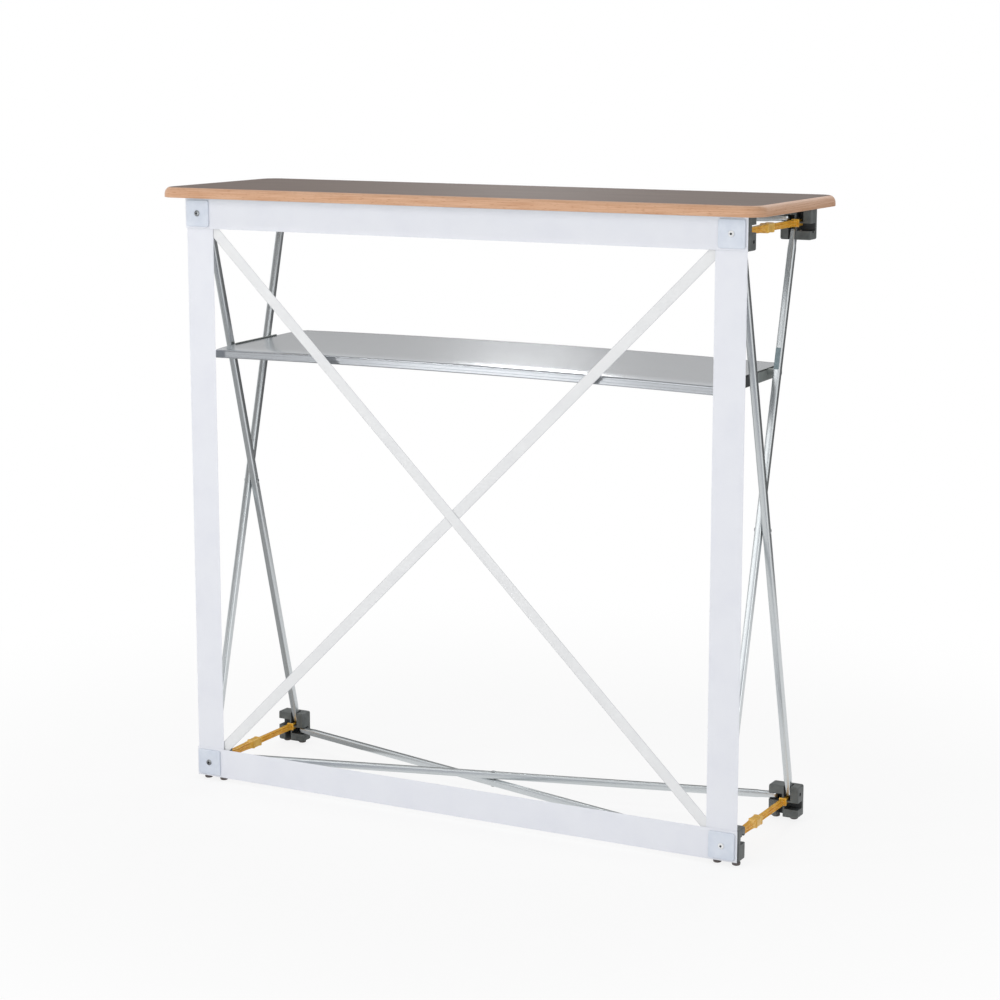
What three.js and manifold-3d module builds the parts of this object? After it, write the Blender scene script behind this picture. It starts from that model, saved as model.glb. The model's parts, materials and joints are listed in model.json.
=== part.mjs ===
// Folding portable bar: a scissor frame of eight hubs and eight bars that folds to a bundle, held open
// by four snap arms, with a strip frame and crossed straps in front, a loose shelf and a loose top board.
// Millimetres. X runs across the bar, Y from the front to the back, Z up from the floor.

import * as THREE from 'three';
import { mergeVertices } from 'three/addons/utils/BufferGeometryUtils.js';
import Module from 'manifold-3d';

const wasm = await Module();
wasm.setup();

// Overall size, the clearance between pieces that touch, and how far joins and cuts reach past a face
const totalHeight = 948;
const gap = 0.3;
const past = 1;
const roundSides = 10;

// Top board
const topWidth = 998;
const topDepth = 312;
const topThickness = 15.5;
const topCornerRadius = 30;
const topRoundOver = 9;
const topRoundHeight = 11;
const topArris = 0.8;
const topRoundSteps = 4;

// Hubs: a base plate with four lugs behind it. The four slots between the lugs are set off sideways like
// a pinwheel, so that crossed bars run straight past each other, and a square socket holds the snap arm.
const hubHalfWidth = 24;
const hubHalfHeight = 24.5;
const hubDepth = 24;
const footHeight = 5.5;
const footTopRadius = 5.4;
const footRadius = 4.6;
const hubBase = 7;
const hubCorner = 3;
const hubBevel = 1.2;
const slotWidth = 10.9;
const slotFrom = 2;
const armSocketWidth = 9.8;
const hubSpanX = 890;
const frontHubFace = -118.8;
const backHubFace = 137.3;
const bottomHubZ = footHeight + hubHalfHeight;
const topHubZ = totalHeight - topThickness - gap - hubHalfHeight;

// Pivots: depth below the hub's outer face, and offset of each pivot from the hub's centre. The level
// bars sit further in than the side bars, so that both kinds have the same length and the same lean.
const pivotDepth = 15;
const sideOffset = 12;
const levelOffset = sideOffset + (hubSpanX - (topHubZ - bottomHubZ)) / 2;
const pinRadius = 2.5;
const pinHalfLength = 12;
const pinHoleRadius = 2.95;
const barHoleRadius = 3.1;

// Scissor bars: a straight bevelled tube, slightly flattened at each end
const tubeHalf = 5.25;
const tubeBevel = 1.5;
const tongueHalf = 4.6;
const tongueBevel = 0.8;
const tongueLength = 16;
const taperEnd = 28;
const barStagger = 6;
const rivetRadius = 2.6;
const rivetHeadRadius = 4.4;
const rivetHead = 1.8;
const rivetEdge = 1;

// Snap arms: a tapered front half that ends in a socket, and a rod that plugs into it. The rod's other end
// has a flange against the back hub.
const armBlock = 9;
const armBlockLength = 16;
const armCornerCut = 0.8;
const armNeckHalf = 3.8;
const armNeckCut = 1;
const armNeckRun = 3;
const armWideHalf = 5.2;
const armWideCut = 1.4;
const armWideRun = 4;
const socketHalf = 6.6;
const socketBevel = 2;
const socketStart = -14;
const socketEnd = 26;
const socketHoleRadius = 4.7;
const socketHoleDepth = 20;
const armRodRadius = 4.1;
const armFlangeHalf = 5.9;
const armFlangeThickness = 2.4;
const armInsert = 15;

// Front layers, counted outwards from the hub face: straps, upright strips, level strips, corner plates
const strapThickness = 0.8;
const strapWidth = 17;
const strapEndSetback = 9;
const stripThickness = 1.2;
const levelStripHeight = 46.7;
const uprightStripWidth = 48.4;
const uprightStripInset = 1.6;
const stripOverhang = 23.4;
const plateSize = 40.5;
const plateThickness = 3;
const plateBevel = 1;
const plateCorner = 3;
const screwRadius = 2;
const screwHoleRadius = 2.6;
const screwHeadRadius = 4;
const screwHead = 1.6;
const screwEdge = 0.8;
const screwReach = 5.5;

// Shelf: a shallow tray with a rolled front rim, and hooks that bear on the side bars
const shelfTop = 696;
const shelfThickness = 13;
const shelfLeft = -425;
const shelfRight = 420;
const shelfFront = -109;
const shelfBack = 138;
const shelfRimDepth = 9;
const shelfRimGroove = 1.5;
const shelfSkirt = 2;
const shelfChamfer = 20;
const hookHeight = 9;
const hookDepth = 12;
const hookGap = 0.6;
const hookBite = 1.75;

// Finishes
const finish = {
  hub: new THREE.MeshStandardMaterial({ color: 0x55585a, roughness: 0.55, metalness: 0 }),
  aluminium: new THREE.MeshStandardMaterial({ color: 0xb9bec2, roughness: 0.3, metalness: 1 }),
  steel: new THREE.MeshStandardMaterial({ color: 0x8f9294, roughness: 0.35, metalness: 1 }),
  amber: new THREE.MeshStandardMaterial({ color: 0xd79a35, roughness: 0.4, metalness: 0 }),
  strip: new THREE.MeshStandardMaterial({ color: 0xe4e6ee, roughness: 0.7, metalness: 0 }),
  plate: new THREE.MeshStandardMaterial({ color: 0xd9dfe8, roughness: 0.4, metalness: 0 }),
  strap: new THREE.MeshStandardMaterial({ color: 0xeaecec, roughness: 0.8, metalness: 0 }),
  shelf: new THREE.MeshStandardMaterial({ color: 0xb4b7bb, roughness: 0.28, metalness: 0.9 }),
  top: new THREE.MeshStandardMaterial({ color: 0xcfae9b, roughness: 0.5, metalness: 0 }),
};

const bar = new THREE.Group();
const axisX = new THREE.Vector3(1, 0, 0);
const axisY = new THREE.Vector3(0, 1, 0);
const axisZ = new THREE.Vector3(0, 0, 1);

// A closed geometry as a solid that can be cut and joined, and back
function solidOf(geometry) {
  const plain = geometry.clone();
  plain.deleteAttribute('normal');
  plain.deleteAttribute('uv');
  const merged = mergeVertices(plain, 1e-4);
  const mesh = new wasm.Mesh({
    numProp: 3,
    vertProperties: Float32Array.from(merged.attributes.position.array),
    triVerts: Uint32Array.from(merged.index.array),
  });
  return new wasm.Manifold(mesh);
}

function geometryOf(solid) {
  const mesh = solid.getMesh();
  const geometry = new THREE.BufferGeometry();
  geometry.setAttribute('position', new THREE.BufferAttribute(mesh.vertProperties, 3));
  geometry.setIndex(new THREE.BufferAttribute(mesh.triVerts, 1));
  geometry.computeVertexNormals();
  return geometry;
}

function addPiece(name, geometry, material, position = new THREE.Vector3()) {
  const mesh = new THREE.Mesh(geometry, material);
  mesh.name = name;
  mesh.position.copy(position);
  bar.add(mesh);
  return mesh;
}

// A box between two corners
function boxBetween(low, high) {
  const size = high.map((value, i) => Math.abs(value - low[i]));
  const centre = high.map((value, i) => (value + low[i]) / 2);
  return new THREE.BoxGeometry(...size).translate(...centre);
}

// A round rod between two points along one of the axes
function rodBetween(start, end, radius, sides = roundSides) {
  const a = new THREE.Vector3(...start);
  const b = new THREE.Vector3(...end);
  const along = b.clone().sub(a);
  const rod = new THREE.CylinderGeometry(radius, radius, along.length(), sides);
  rod.applyQuaternion(new THREE.Quaternion().setFromUnitVectors(axisY, along.clone().normalize()));
  const middle = a.add(b).multiplyScalar(0.5);
  return rod.translate(middle.x, middle.y, middle.z);
}

function roundedRectangle(width, height, radius) {
  const shape = new THREE.Shape();
  const x = width / 2;
  const y = height / 2;
  shape.moveTo(-x + radius, -y);
  shape.lineTo(x - radius, -y);
  shape.absarc(x - radius, -y + radius, radius, -Math.PI / 2, 0);
  shape.lineTo(x, y - radius);
  shape.absarc(x - radius, y - radius, radius, 0, Math.PI / 2);
  shape.lineTo(-x + radius, y);
  shape.absarc(-x + radius, y - radius, radius, Math.PI / 2, Math.PI);
  shape.lineTo(-x, -y + radius);
  shape.absarc(-x + radius, -y + radius, radius, Math.PI, Math.PI * 1.5);
  return shape;
}

// A rounded rectangle in the XZ plane with bevelled edges, from y = 0 to y = depth
function bevelledSlab(width, height, depth, radius, bevel) {
  const shape = roundedRectangle(width - 2 * bevel, height - 2 * bevel, radius - bevel);
  const slab = new THREE.ExtrudeGeometry(shape, {
    depth: depth - 2 * bevel,
    bevelEnabled: true,
    bevelSize: bevel,
    bevelThickness: bevel,
    bevelSegments: 1,
    curveSegments: 2,
  });
  return slab.rotateX(Math.PI / 2).translate(0, depth - bevel, 0);
}

// A closed skin over a row of rings of equal point count, each given anticlockwise seen along its row
function loft(rings) {
  const count = rings[0].length;
  const points = rings.flat();
  const index = [];
  for (let r = 0; r + 1 < rings.length; r += 1) {
    for (let i = 0; i < count; i += 1) {
      const a = r * count + i;
      const b = r * count + ((i + 1) % count);
      index.push(a, b, a + count, b, b + count, a + count);
    }
  }
  const last = (rings.length - 1) * count;
  for (let i = 1; i + 1 < count; i += 1) {
    index.push(0, i + 1, i);
    index.push(last, last + i, last + i + 1);
  }
  const geometry = new THREE.BufferGeometry().setFromPoints(points);
  geometry.setIndex(index);
  return geometry;
}

// An eight-point ring: a rectangle with its corners cut, square to X at the given station
function cutRectangle(station, centre, halfWidth, halfHeight, cut) {
  const corners = [
    [1, -1, 0], [1, 1, 0], [1, 1, 1], [-1, 1, 1], [-1, 1, 0], [-1, -1, 0], [-1, -1, 1], [1, -1, 1],
  ];
  return corners.map(([sideY, sideZ, onLevel]) => new THREE.Vector3(
    station,
    centre + sideY * (halfWidth - (onLevel ? cut : 0)),
    sideZ * (halfHeight - (onLevel ? 0 : cut)),
  ));
}

// Where the hubs are: side -1 is left, front or bottom, and 1 is right, back or top
const sideWord = { '-1': 'left', 1: 'right' };
const depthWord = { '-1': 'front', 1: 'back' };
const levelWord = { '-1': 'bottom', 1: 'top' };
const sides = [-1, 1];

function hubX(side) {
  return (side * hubSpanX) / 2;
}

function hubZ(level) {
  return level < 0 ? bottomHubZ : topHubZ;
}

function hubFace(depth) {
  return depth < 0 ? frontHubFace : backHubFace;
}

function hubName(depth, side, level) {
  return `${depthWord[depth]}_${sideWord[side]}_${levelWord[level]}`;
}

const pivotY = (depth) => hubFace(depth) - depth * pivotDepth;
const sidePivot = (depth, side, level) =>
  new THREE.Vector3(hubX(side), pivotY(depth), hubZ(level) - level * sideOffset);
const levelPivot = (depth, side, level) =>
  new THREE.Vector3(hubX(side) - side * levelOffset, pivotY(depth), hubZ(level));

// How far a bar is set off from its hub's centre, along its pivot axis. The hubs are one moulding, turned
// round between front and back.
const sideStagger = (depth, level) => -depth * level * barStagger;
const levelStagger = (depth, side) => depth * side * barStagger;

// One hub, with its origin at the middle of its outer face. Pin holes run in from the outer sides.
function hubGeometry(depth, side, level) {
  const inward = -depth;
  const body = bevelledSlab(2 * hubHalfWidth, 2 * hubHalfHeight, hubDepth, hubCorner, hubBevel);
  if (depth > 0) {
    body.translate(0, -hubDepth, 0);
  }
  const base = inward * hubBase;
  const open = inward * (hubDepth + past);
  const wide = hubHalfWidth + past;
  const tall = hubHalfHeight + past;
  const half = slotWidth / 2;
  const upright = (way) => {
    const centre = depth * way * barStagger;
    return boxBetween([centre - half, base, way * slotFrom], [centre + half, open, way * tall]);
  };
  const flat = (way) => {
    const centre = -depth * way * barStagger;
    return boxBetween([way * slotFrom, base, centre - half], [way * wide, open, centre + half]);
  };
  const socket = armSocketWidth / 2;
  const pinY = inward * pivotDepth;
  const pinZ = -level * sideOffset;
  const pinX = -side * levelOffset;
  const blind = pinHalfLength + gap;
  const sideEnd = sideStagger(depth, level) - side * blind;
  const levelEnd = levelStagger(depth, side) - level * blind;
  const screwDepth = inward * (screwReach + gap);
  const cuts = [
    ...sides.map(upright),
    ...sides.map(flat),
    boxBetween([-socket, base, -socket], [socket, open, socket]),
    rodBetween([side * wide, pinY, pinZ], [sideEnd, pinY, pinZ], pinHoleRadius),
    rodBetween([pinX, pinY, level * tall], [pinX, pinY, levelEnd], pinHoleRadius),
    rodBetween([0, -inward * past, 0], [0, screwDepth, 0], screwHoleRadius),
  ];
  const hub = cuts.reduce((solid, cut) => solid.subtract(solidOf(cut)), solidOf(body));
  return geometryOf(level < 0 ? hubFeet(depth).reduce((solid, foot) => solid.add(foot), hub) : hub);
}

// Two tapered feet, in the middle of the narrow and the wide lug below a lower hub, near its outer face
function hubFeet(depth) {
  const slotCentre = -depth * barStagger;
  const slotEdges = sides.map((way) => slotCentre + (way * slotWidth) / 2);
  const tall = footHeight + hubBevel;
  return sides.map((way, i) => {
    const foot = new THREE.CylinderGeometry(footTopRadius, footRadius, tall, roundSides);
    foot.rotateX(Math.PI / 2);
    const x = (way * hubHalfWidth + slotEdges[i]) / 2;
    return solidOf(foot.translate(x, -depth * hubBase, -hubHalfHeight - footHeight + tall / 2));
  });
}

for (const depth of sides) {
  for (const side of sides) {
    for (const level of sides) {
      const name = hubName(depth, side, level);
      const place = new THREE.Vector3(hubX(side), hubFace(depth), hubZ(level));
      addPiece(`hub_${name}`, hubGeometry(depth, side, level), finish.hub, place);
      const sidePin = rodBetween([-pinHalfLength, 0, 0], [pinHalfLength, 0, 0], pinRadius);
      const sideAt = sidePivot(depth, side, level).addScaledVector(axisX, sideStagger(depth, level));
      addPiece(`side_pin_${name}`, sidePin, finish.steel, sideAt);
      const levelPin = rodBetween([0, 0, -pinHalfLength], [0, 0, pinHalfLength], pinRadius);
      const levelAt = levelPivot(depth, side, level).addScaledVector(axisZ, levelStagger(depth, side));
      addPiece(`level_pin_${name}`, levelPin, finish.steel, levelAt);
    }
  }
}

// One scissor bar along X, pivots at both ends, all of it set off along the pivot axis Y by the stagger. Its
// rounded nose is a few points of a circle: (along, across) as shares of the tube's half width.
function barGeometry(length, stagger) {
  const halfLength = length / 2;
  const noseStations = [
    [-0.97, 0.24],
    [-0.8, 0.6],
    [-0.42, 0.9075],
    [0, 1],
  ];
  const halfRings = [
    ...noseStations.map(([out, tall]) => [halfLength - out * tubeHalf, tongueHalf, tall * tubeHalf]),
    [halfLength - tongueLength, tongueHalf, tubeHalf],
    [halfLength - taperEnd, tubeHalf, tubeHalf],
  ];
  const ring = ([station, halfWidth, halfHeight]) => cutRectangle(
    station,
    stagger,
    halfWidth,
    halfHeight,
    halfWidth === tubeHalf ? tubeBevel : tongueBevel,
  );
  const left = halfRings.map(([station, ...rest]) => ring([-station, ...rest]));
  const right = halfRings.map(ring).reverse();
  const holeReach = barStagger + tubeHalf + past;
  const holes = [-halfLength, 0, halfLength].map((x) =>
    rodBetween([x, -holeReach, 0], [x, holeReach, 0], barHoleRadius));
  const blank = solidOf(loft([...left, ...right]));
  return geometryOf(holes.reduce((solid, hole) => solid.subtract(solidOf(hole)), blank));
}

// Lays a piece that was made along X between two points, with its own Y along the pivot axis
function layBetween(mesh, start, end, pivotAxis) {
  const along = end.clone().sub(start).normalize();
  const third = along.clone().cross(pivotAxis).normalize();
  mesh.quaternion.setFromRotationMatrix(new THREE.Matrix4().makeBasis(along, pivotAxis, third));
  mesh.position.copy(start).add(end).multiplyScalar(0.5);
}

function rivetGeometry() {
  const headIn = barStagger + tubeHalf + gap;
  const headOut = headIn + rivetHead;
  const profile = [
    [0, -headOut],
    [rivetHeadRadius - rivetEdge, -headOut],
    [rivetHeadRadius, -headOut + rivetEdge],
    [rivetHeadRadius, -headIn],
    [rivetRadius, -headIn],
    [rivetRadius, headIn],
    [rivetHeadRadius, headIn],
    [rivetHeadRadius, headOut - rivetEdge],
    [rivetHeadRadius - rivetEdge, headOut],
    [0, headOut],
  ];
  return new THREE.LatheGeometry(profile.map(([r, y]) => new THREE.Vector2(r, y)), roundSides);
}

// A crossed pair of bars and the rivet through their middles
function addScissor(word, pivotAxis, first, second) {
  const pairs = [[first, barStagger], [second, -barStagger]];
  for (const [{ name, start, end }, stagger] of pairs) {
    const geometry = barGeometry(start.distanceTo(end), stagger);
    layBetween(addPiece(`${word}_bar_${name}`, geometry, finish.aluminium), start, end, pivotAxis);
  }
  const rivet = addPiece(`rivet_${word}`, rivetGeometry(), finish.steel);
  rivet.quaternion.setFromUnitVectors(axisY, pivotAxis);
  rivet.position.copy(first.start).add(first.end).multiplyScalar(0.5);
}

for (const side of sides) {
  addScissor(
    sideWord[side],
    axisX,
    { name: 'front_top', start: sidePivot(1, side, -1), end: sidePivot(-1, side, 1) },
    { name: 'back_top', start: sidePivot(-1, side, -1), end: sidePivot(1, side, 1) },
  );
}
for (const level of sides) {
  addScissor(
    levelWord[level],
    axisZ,
    { name: 'front_left', start: levelPivot(-1, -1, level), end: levelPivot(1, 1, level) },
    { name: 'back_left', start: levelPivot(1, -1, level), end: levelPivot(-1, 1, level) },
  );
}

// Snap arms run from front hub to back hub through the hub centres
const turnToY = new THREE.Quaternion().setFromUnitVectors(axisX, axisY);
const armFront = frontHubFace + hubBase + gap;
const armBack = backHubFace - hubBase - gap;

function armSocketGeometry() {
  const ring = (station, half, cut) => cutRectangle(station, 0, half, half, cut);
  const skin = loft([
    ring(armFront, armBlock / 2, armCornerCut),
    ring(armFront + armBlockLength, armBlock / 2, armCornerCut),
    ring(armFront + armBlockLength + armNeckRun, armNeckHalf, armNeckCut),
    ring(socketStart - armWideRun, armWideHalf, armWideCut),
    ring(socketStart, socketHalf, socketBevel),
    ring(socketEnd, socketHalf, socketBevel),
  ]);
  const mouth = [socketEnd - socketHoleDepth, 0, 0];
  const bore = rodBetween(mouth, [socketEnd + past, 0, 0], socketHoleRadius);
  return geometryOf(solidOf(skin).subtract(solidOf(bore))).applyQuaternion(turnToY);
}

function armRodGeometry() {
  const flangeBack = backHubFace - hubDepth - gap;
  const flangeFront = flangeBack - armFlangeThickness;
  const rod = rodBetween([socketEnd - armInsert, 0, 0], [flangeFront + past, 0, 0], armRodRadius);
  const squareStretch = (from, to, half) => solidOf(loft([
    cutRectangle(from, 0, half, half, armCornerCut),
    cutRectangle(to, 0, half, half, armCornerCut),
  ]));
  const flange = squareStretch(flangeFront, flangeBack, armFlangeHalf);
  const block = squareStretch(flangeBack - past, armBack, armBlock / 2);
  return geometryOf(solidOf(rod).add(flange).add(block)).applyQuaternion(turnToY);
}

for (const side of sides) {
  for (const level of sides) {
    const place = new THREE.Vector3(hubX(side), 0, hubZ(level));
    const name = `${sideWord[side]}_${levelWord[level]}`;
    addPiece(`arm_socket_${name}`, armSocketGeometry(), finish.amber, place);
    addPiece(`arm_rod_${name}`, armRodGeometry(), finish.amber, place);
  }
}

// Front layers: each layer's back face, counted outwards (towards -Y) from the hub face
const risingStrapBack = frontHubFace - gap;
const fallingStrapBack = risingStrapBack - strapThickness - gap;
const uprightBack = fallingStrapBack - strapThickness - gap;
const levelBack = uprightBack - stripThickness - gap;
const plateBack = levelBack - stripThickness - gap;
const headBack = plateBack - plateThickness - gap;

function screwHolesAt(places, backFace, thickness) {
  return places.map(([x, z]) =>
    solidOf(rodBetween([x, backFace + past, z], [x, backFace - thickness - past, z], screwHoleRadius)));
}

function addStrip(name, halfWidth, low, high, backFace, places) {
  const [x, z] = halfWidth;
  const strip = solidOf(boxBetween([low[0] - x, backFace - stripThickness, low[1] - z],
    [high[0] + x, backFace, high[1] + z]));
  const holes = screwHolesAt(places, backFace, stripThickness);
  addPiece(name, geometryOf(holes.reduce((solid, hole) => solid.subtract(hole), strip)), finish.strip);
}

for (const level of sides) {
  const ends = sides.map((side) => [hubX(side), hubZ(level)]);
  const reach = [stripOverhang, levelStripHeight / 2];
  addStrip(`strip_${levelWord[level]}`, reach, ends[0], ends[1], levelBack, ends);
}
for (const side of sides) {
  const ends = sides.map((level) => [hubX(side), hubZ(level)]);
  const middles = ends.map(([x, z]) => [x - side * uprightStripInset, z]);
  const reach = [uprightStripWidth / 2, levelStripHeight / 2];
  addStrip(`strip_${sideWord[side]}`, reach, middles[0], middles[1], uprightBack, ends);
}

function plateGeometry() {
  const plate = bevelledSlab(plateSize, plateSize, plateThickness, plateCorner, plateBevel);
  const hole = rodBetween([0, -past, 0], [0, plateThickness + past, 0], screwHoleRadius);
  return geometryOf(solidOf(plate).subtract(solidOf(hole)));
}

// A flat-headed screw along Y, its head outwards (towards -Y), from the head's back face at y = 0
function screwGeometry() {
  const shank = frontHubFace + screwReach - headBack;
  const profile = [
    [0, -screwHead],
    [screwHeadRadius - screwEdge, -screwHead],
    [screwHeadRadius, -screwHead + screwEdge],
    [screwHeadRadius, 0],
    [screwRadius, 0],
    [screwRadius, shank],
    [0, shank],
  ];
  return new THREE.LatheGeometry(profile.map(([r, y]) => new THREE.Vector2(r, y)), roundSides);
}

for (const side of sides) {
  for (const level of sides) {
    const name = `${sideWord[side]}_${levelWord[level]}`;
    const plateAt = new THREE.Vector3(hubX(side), plateBack - plateThickness, hubZ(level));
    addPiece(`corner_plate_${name}`, plateGeometry(), finish.plate, plateAt);
    const screwAt = new THREE.Vector3(hubX(side), headBack, hubZ(level));
    addPiece(`corner_screw_${name}`, screwGeometry(), finish.steel, screwAt);
  }
}

// Crossed straps, each held at its ends between a hub and its corner plate
function addStrap(name, rise, backFace) {
  const start = new THREE.Vector3(hubX(-1), backFace - strapThickness / 2, hubZ(-rise));
  const end = new THREE.Vector3(hubX(1), backFace - strapThickness / 2, hubZ(rise));
  const length = start.distanceTo(end) - 2 * strapEndSetback;
  const geometry = new THREE.BoxGeometry(length, strapThickness, strapWidth);
  layBetween(addPiece(name, geometry, finish.strap), start, end, axisY);
}

addStrap('strap_rising', 1, risingStrapBack);
addStrap('strap_falling', -1, fallingStrapBack);

// The shelf's section across Y and Z: a tray open below, with a grooved rim along the front
function shelfGeometry() {
  const low = shelfTop - shelfThickness;
  const rimBack = shelfFront + shelfRimDepth;
  const middle = (low + shelfTop) / 2;
  const section = new THREE.Shape();
  section.moveTo(shelfFront, low);
  section.lineTo(rimBack, low);
  section.lineTo(rimBack, shelfTop - shelfSkirt);
  section.lineTo(shelfBack - shelfSkirt, shelfTop - shelfSkirt);
  section.lineTo(shelfBack - shelfSkirt, low);
  section.lineTo(shelfBack, low);
  section.lineTo(shelfBack, shelfTop);
  section.lineTo(shelfFront, shelfTop);
  section.lineTo(shelfFront, middle + shelfRimGroove);
  section.lineTo(shelfFront + shelfRimGroove, middle);
  section.lineTo(shelfFront, middle - shelfRimGroove);
  const tray = new THREE.ExtrudeGeometry(section, { depth: shelfRight - shelfLeft, bevelEnabled: false });
  const toWorld = new THREE.Matrix4().makeBasis(axisY, axisZ, axisX);
  tray.applyMatrix4(toWorld).translate(shelfLeft, 0, 0);
  const ends = [shelfLeft, shelfRight - shelfSkirt].map((x) =>
    boxBetween([x, rimBack - past, low], [x + shelfSkirt, shelfBack - past, shelfTop - past]));
  return ends.reduce((solid, end) => solid.add(solidOf(end)), solidOf(tray));
}

// The Y of a side bar's middle at a height
function barYAt(z, frontTop) {
  const low = sidePivot(frontTop ? 1 : -1, 1, -1);
  const high = sidePivot(frontTop ? -1 : 1, 1, 1);
  return low.y + ((z - low.z) / (high.z - low.z)) * (high.y - low.y);
}

function shelfWithHooks() {
  const lean = Math.atan2(pivotY(1) - pivotY(-1), sidePivot(1, 1, 1).z - sidePivot(1, 1, -1).z);
  const halfAcross = tubeHalf / Math.cos(lean) + hookGap;
  const low = shelfTop - hookHeight;
  const restFrom = barYAt(low, true) + halfAcross;
  const clipFrom = barYAt(shelfTop, false) + halfAcross;
  const restReach = hubX(-1) + barStagger + tubeHalf - hookBite;
  const hooks = [
    [[restReach, restFrom, low], [shelfLeft + past, restFrom + hookDepth, shelfTop]],
    [[hubX(-1) - barStagger, clipFrom, low], [shelfLeft + past, clipFrom + hookDepth, shelfTop]],
    [[shelfRight - past, clipFrom, low], [hubX(1) - barStagger + tubeHalf, clipFrom + hookDepth, shelfTop]],
  ];
  const chamfers = sides.map((side) => {
    const corner = new THREE.BoxGeometry(shelfChamfer, shelfChamfer, 4 * shelfThickness);
    const end = side < 0 ? shelfLeft : shelfRight;
    return corner.rotateZ(Math.PI / 4).translate(end, shelfBack, shelfTop);
  });
  const joined = hooks.reduce((solid, hook) => solid.add(solidOf(boxBetween(...hook))), shelfGeometry());
  return geometryOf(chamfers.reduce((solid, cut) => solid.subtract(solidOf(cut)), joined));
}

addPiece('shelf', shelfWithHooks(), finish.shelf);

// Top board: a rounded rectangle, square below and rounded over above, lying on the four upper hubs
function boardGeometry() {
  const ring = (inset, level) => {
    const radius = topCornerRadius - inset;
    const shape = roundedRectangle(topWidth - 2 * inset, topDepth - 2 * inset, radius);
    return shape.getPoints(5).slice(0, -1).map((point) => new THREE.Vector3(point.x, point.y, level));
  };
  const springing = topThickness - topRoundHeight;
  const rings = [ring(topArris, 0), ring(0, topArris)];
  for (let step = 0; step <= topRoundSteps; step += 1) {
    const angle = (step / topRoundSteps) * (Math.PI / 2);
    rings.push(ring(topRoundOver * (1 - Math.cos(angle)), springing + topRoundHeight * Math.sin(angle)));
  }
  return geometryOf(solidOf(loft(rings)));
}

addPiece('tabletop', boardGeometry(), finish.top, new THREE.Vector3(0, 0, totalHeight - topThickness));

export default bar;
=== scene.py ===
import json
import math

import bmesh
import bpy
import numpy as np
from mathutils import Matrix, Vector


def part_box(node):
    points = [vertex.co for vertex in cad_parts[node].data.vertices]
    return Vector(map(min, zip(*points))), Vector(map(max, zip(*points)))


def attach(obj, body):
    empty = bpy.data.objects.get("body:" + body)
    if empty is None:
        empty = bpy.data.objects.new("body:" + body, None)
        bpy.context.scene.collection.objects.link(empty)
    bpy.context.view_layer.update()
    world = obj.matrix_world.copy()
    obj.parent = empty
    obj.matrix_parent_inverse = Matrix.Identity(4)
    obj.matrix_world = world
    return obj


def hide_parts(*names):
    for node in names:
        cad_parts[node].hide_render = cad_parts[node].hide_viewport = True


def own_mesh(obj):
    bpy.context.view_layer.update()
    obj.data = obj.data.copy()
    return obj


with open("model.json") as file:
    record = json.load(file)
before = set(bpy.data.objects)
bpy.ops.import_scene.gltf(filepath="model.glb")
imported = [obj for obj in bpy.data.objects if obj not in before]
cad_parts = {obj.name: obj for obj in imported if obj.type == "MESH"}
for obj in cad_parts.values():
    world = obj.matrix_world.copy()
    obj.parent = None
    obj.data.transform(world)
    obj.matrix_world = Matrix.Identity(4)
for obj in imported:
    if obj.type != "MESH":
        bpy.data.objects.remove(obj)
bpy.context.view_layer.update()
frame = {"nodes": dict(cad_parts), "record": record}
bodyOf = {node: body for body, nodes in frame["record"]["behaviour"]["bodies"].items() for node in nodes}
mm = 0.001
xAxis, yAxis, zAxis = np.eye(3)
sideNames = ("left", "right")
depthNames = ("front", "back")
levelNames = ("bottom", "top")
cornerNames = [f"{side}_{level}" for side in sideNames for level in levelNames]


def addObject(name, data):
    thing = bpy.data.objects.new(name, data)
    bpy.context.scene.collection.objects.link(thing)
    return thing


# camera, fitted to the corners of the front strip frame
cameraSet = {"place": (1.75875, -3.2572, 1.16055), "yaw": 28.14, "pitch": 10.47, "lensMm": 88.34,
             "sensorMm": 36}
cameraData = bpy.data.cameras.new("photo_camera")
cameraData.sensor_width = cameraSet["sensorMm"]
cameraData.lens = cameraSet["lensMm"]
camera = addObject("photo_camera", cameraData)
camera.location = cameraSet["place"]
camera.rotation_euler = (math.radians(90 - cameraSet["pitch"]), 0, math.radians(cameraSet["yaw"]))
bpy.context.scene.camera = camera


# sRGB hex to the linear colour that a shader socket takes
def linearColour(hexText):
    channel = np.array([int(hexText[i:i + 2], 16) for i in (0, 2, 4)]) / 255
    linear = np.where(channel <= 0.04045, channel / 12.92, ((channel + 0.055) / 1.055) ** 2.4)
    return (*linear.tolist(), 1.0)


# links a node's inputs; a node given as the source stands for its first output
def linkInputs(tree, node, links):
    for key, source in links.items():
        socket = source.outputs[0] if isinstance(source, bpy.types.Node) else source
        tree.links.new(socket, node.inputs[key])


# adds one node: a setting goes to a socket or a property, stops go to a colour ramp, links to sockets
def addNode(tree, kind, settings=None, links=None):
    node = tree.nodes.new(kind)
    for key, value in (settings or {}).items():
        if key == "stops":
            ramp = node.color_ramp.elements
            while len(ramp) < len(value):
                ramp.new(0.5)
            for stop, (position, hexText) in zip(ramp, value):
                stop.position = position
                stop.color = linearColour(hexText)
        elif isinstance(key, int) or key in node.inputs:
            node.inputs[key].default_value = value
        else:
            setattr(node, key, value)
    linkInputs(tree, node, links or {})
    return node


materialOf = {}


# a material with its shader's constants set on the sockets, and the place or the map that its patterns lie on.
# It is kept by its own name, since the CAD's materials may have the same one
def startMaterial(name, hexText, settings, space="Object"):
    material = materialOf[name] = bpy.data.materials.new(name)
    material.use_nodes = True
    tree = material.node_tree
    shader = tree.nodes["Principled BSDF"]
    shader.inputs["Base Color"].default_value = linearColour(hexText)
    for key, value in settings.items():
        shader.inputs[key].default_value = value
    return tree, shader, addNode(tree, "ShaderNodeTexCoord").outputs[space]


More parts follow.
